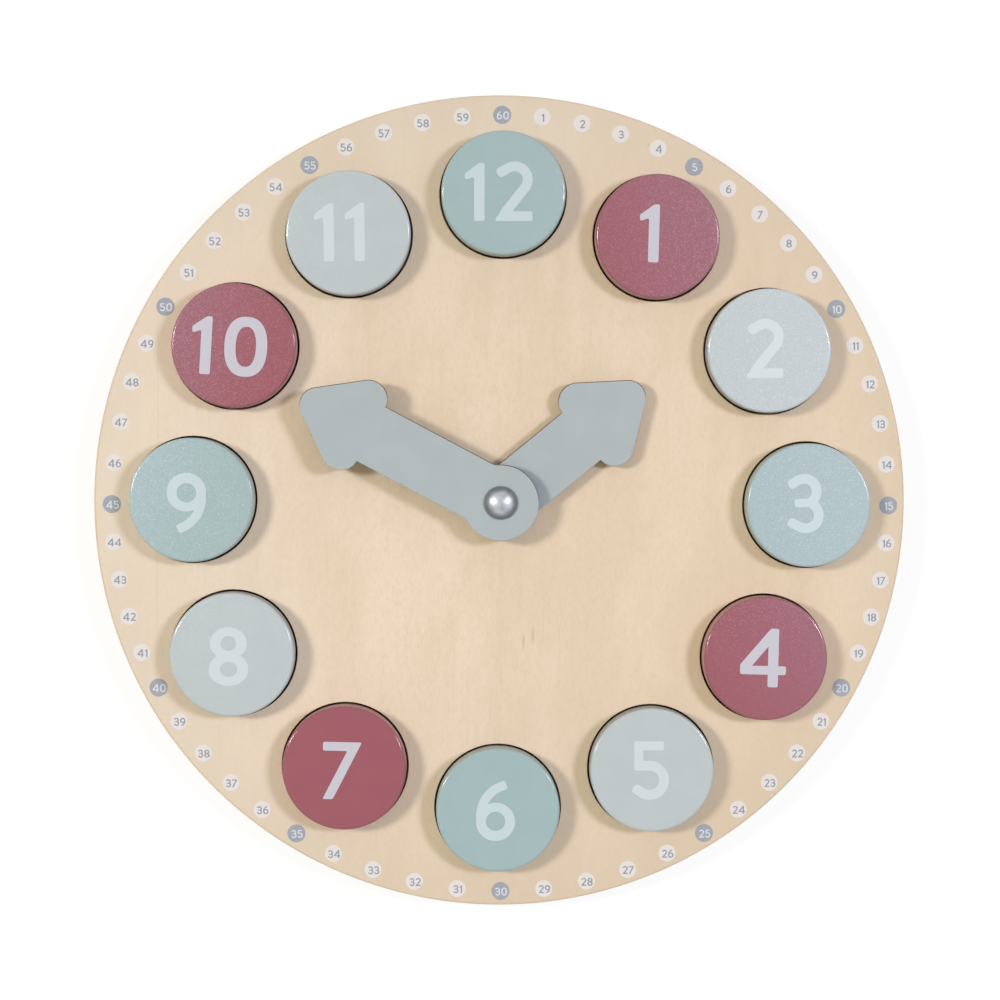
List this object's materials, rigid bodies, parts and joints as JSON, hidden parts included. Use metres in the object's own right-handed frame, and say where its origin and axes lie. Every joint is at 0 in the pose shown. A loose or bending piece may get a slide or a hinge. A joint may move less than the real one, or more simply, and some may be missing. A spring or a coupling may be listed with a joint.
{
  "type": "wooden teaching clock",
  "caption": "Round wooden clock that lies flat, with loose number discs in a ring of round pockets and two arrow hands that turn by hand on one rivet.",
  "frame": {"origin": "centre of the flat back face, which the clock lies on", "axes": "+Z out of the dial along the pivot, +Y towards the hour 12, +X towards the hour 3"},
  "size_m": [0.22, 0.22, 0.02],
  "materials": {
    "board_wood": "pale veneered plywood, clear matt lacquer",
    "disc_teal": "solid light wood, satin grey-green paint on the face",
    "disc_red": "solid light wood, satin dusky red paint on the face",
    "disc_grey": "solid light wood, satin pale grey paint on the face",
    "hand_paint": "thin plywood, matt blue-grey paint",
    "rivet_metal": "polished plated steel",
    "slip_washer": "natural nylon"
  },
  "bodies": {
    "board": {"face_board": "board_wood", "back_board": "board_wood", "pivot_rivet": "rivet_metal", "board_washer": "slip_washer", "hand_washer": "slip_washer", "rear_washer": "rivet_metal"},
    "hour_hand": {"hour_hand": "hand_paint"},
    "minute_hand": {"minute_hand": "hand_paint"},
    "number_disc_01": {"number_disc_01": "disc_red"},
    "number_disc_02": {"number_disc_02": "disc_grey"},
    "number_disc_03": {"number_disc_03": "disc_teal"},
    "number_disc_04": {"number_disc_04": "disc_red"},
    "number_disc_05": {"number_disc_05": "disc_grey"},
    "number_disc_06": {"number_disc_06": "disc_teal"},
    "number_disc_07": {"number_disc_07": "disc_red"},
    "number_disc_08": {"number_disc_08": "disc_grey"},
    "number_disc_09": {"number_disc_09": "disc_teal"},
    "number_disc_10": {"number_disc_10": "disc_red"},
    "number_disc_11": {"number_disc_11": "disc_grey"},
    "number_disc_12": {"number_disc_12": "disc_teal"}
  },
  "joints": [
    {"name": "hour_hand_turn", "type": "hinge", "parent": "board", "child": "hour_hand", "pos_m": [0, 0, 0.01225], "axis": [0, 0, 1], "continuous": true},
    {"name": "minute_hand_turn", "type": "hinge", "parent": "board", "child": "minute_hand", "pos_m": [0, 0, 0.01605], "axis": [0, 0, 1], "continuous": true},
    {"name": "number_disc_01_lift", "type": "slide", "parent": "board", "child": "number_disc_01", "axis": [0, 0, 1], "range_m": [0, 0.01]},
    {"name": "number_disc_02_lift", "type": "slide", "parent": "board", "child": "number_disc_02", "axis": [0, 0, 1], "range_m": [0, 0.01]},
    {"name": "number_disc_03_lift", "type": "slide", "parent": "board", "child": "number_disc_03", "axis": [0, 0, 1], "range_m": [0, 0.01]},
    {"name": "number_disc_04_lift", "type": "slide", "parent": "board", "child": "number_disc_04", "axis": [0, 0, 1], "range_m": [0, 0.01]},
    {"name": "number_disc_05_lift", "type": "slide", "parent": "board", "child": "number_disc_05", "axis": [0, 0, 1], "range_m": [0, 0.01]},
    {"name": "number_disc_06_lift", "type": "slide", "parent": "board", "child": "number_disc_06", "axis": [0, 0, 1], "range_m": [0, 0.01]},
    {"name": "number_disc_07_lift", "type": "slide", "parent": "board", "child": "number_disc_07", "axis": [0, 0, 1], "range_m": [0, 0.01]},
    {"name": "number_disc_08_lift", "type": "slide", "parent": "board", "child": "number_disc_08", "axis": [0, 0, 1], "range_m": [0, 0.01]},
    {"name": "number_disc_09_lift", "type": "slide", "parent": "board", "child": "number_disc_09", "axis": [0, 0, 1], "range_m": [0, 0.01]},
    {"name": "number_disc_10_lift", "type": "slide", "parent": "board", "child": "number_disc_10", "axis": [0, 0, 1], "range_m": [0, 0.01]},
    {"name": "number_disc_11_lift", "type": "slide", "parent": "board", "child": "number_disc_11", "axis": [0, 0, 1], "range_m": [0, 0.01]},
    {"name": "number_disc_12_lift", "type": "slide", "parent": "board", "child": "number_disc_12", "axis": [0, 0, 1], "range_m": [0, 0.01]}
  ]
}
